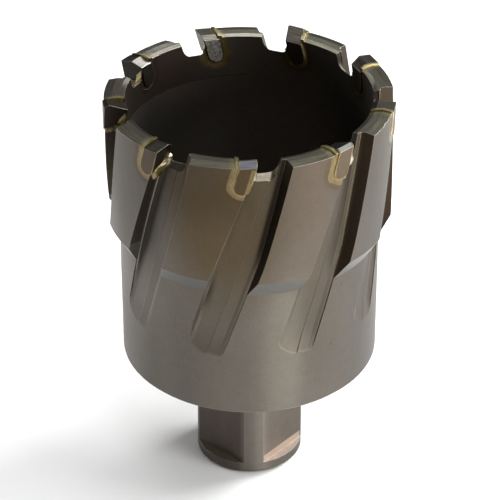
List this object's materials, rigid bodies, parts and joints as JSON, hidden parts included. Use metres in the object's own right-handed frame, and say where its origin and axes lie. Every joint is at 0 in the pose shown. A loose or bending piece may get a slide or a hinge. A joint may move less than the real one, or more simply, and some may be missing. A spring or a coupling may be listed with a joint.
{
  "type": "annular cutter",
  "caption": "Stepped annular cutter with helical flutes, brazed carbide tips and a round shank with two clamping flats.",
  "frame": {"origin": "middle of the shank's end face, where the bore for the ejector pin opens", "axes": "+Z along the cutter's axis, from the shank's end towards the teeth; -Y is the side that the picture looks at, +X to its right"},
  "size_m": [0.0497, 0.0497, 0.0752],
  "materials": {
    "coated_steel": "satin bronze-grey coating over a blasted surface",
    "carbide": "ground, coated",
    "braze": "dull, heat-tinted"
  },
  "bodies": {
    "root": {"cutter_body": "coated_steel", "carbide_tip_1": "carbide", "carbide_tip_2": "carbide", "carbide_tip_3": "carbide", "carbide_tip_4": "carbide", "carbide_tip_5": "carbide", "carbide_tip_6": "carbide", "carbide_tip_7": "carbide", "carbide_tip_8": "carbide", "carbide_tip_9": "carbide", "braze_seam_1": "braze", "braze_seam_2": "braze", "braze_seam_3": "braze", "braze_seam_4": "braze", "braze_seam_5": "braze", "braze_seam_6": "braze", "braze_seam_7": "braze", "braze_seam_8": "braze", "braze_seam_9": "braze"}
  },
  "joints": []
}
